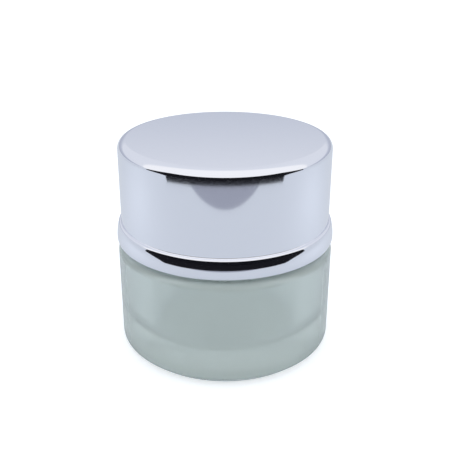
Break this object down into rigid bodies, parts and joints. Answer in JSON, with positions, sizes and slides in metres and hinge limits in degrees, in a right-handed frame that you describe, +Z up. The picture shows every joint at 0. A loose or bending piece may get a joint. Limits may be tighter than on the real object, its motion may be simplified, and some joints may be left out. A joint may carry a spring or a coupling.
{
  "type": "cosmetic cream jar",
  "caption": "Round screw-top cosmetic cream jar: thick frosted glass body, inner sealing disc with pull tab, and a tall mirror-bright metal-shelled lid with a swelled skirt.",
  "frame": {"origin": "centre of the flat ring that the jar stands on, at table height", "axes": "+Z up along the jar's axis; +Y towards the pull tab's hinge"},
  "size_m": [0.052, 0.052, 0.0514],
  "materials": {
    "frosted_glass": "acid-frosted outside, smooth inside",
    "disc_plastic": "moulded polyethylene, satin",
    "liner_foam": "expanded polyethylene foam",
    "cap_plastic": "moulded polypropylene, semi-gloss",
    "bright_aluminium": "drawn, polished and bright-anodised aluminium"
  },
  "bodies": {
    "jar": {"glass_jar": "frosted_glass"},
    "seal": {"seal_disc": "disc_plastic"},
    "tab": {"pull_tab": "disc_plastic"},
    "liner": {"liner_wad": "liner_foam"},
    "lid": {"inner_cap": "cap_plastic", "cap_shell": "bright_aluminium"}
  },
  "joints": [
    {"name": "lid_rise", "type": "slide", "parent": "jar", "child": "liner", "axis": [0, 0, 1], "range_m": [0, 0.0261]},
    {"name": "lid_turn", "type": "hinge", "parent": "liner", "child": "lid", "pos_m": [0, 0, 0.04], "axis": [0, 0, 1], "range_deg": [0, 2340]},
    {"name": "seal_lift", "type": "slide", "parent": "jar", "child": "seal", "axis": [0, 0, 1], "range_m": [0, 0.0066]},
    {"name": "tab_fold", "type": "hinge", "parent": "seal", "child": "tab", "pos_m": [0, 0.0065, 0.03683], "axis": [-1, 0, 0], "range_deg": [0, 75.5]}
  ],
  "couplings": [
    {"joint": "lid_rise", "follows": "lid_turn", "m_per_rad": 0.00063662},
    {"joint": "seal_lift", "follows": "lid_turn", "m_per_rad": 0.00015915},
    {"joint": "tab_fold", "follows": "lid_turn", "ratio": 0.032051}
  ]
}
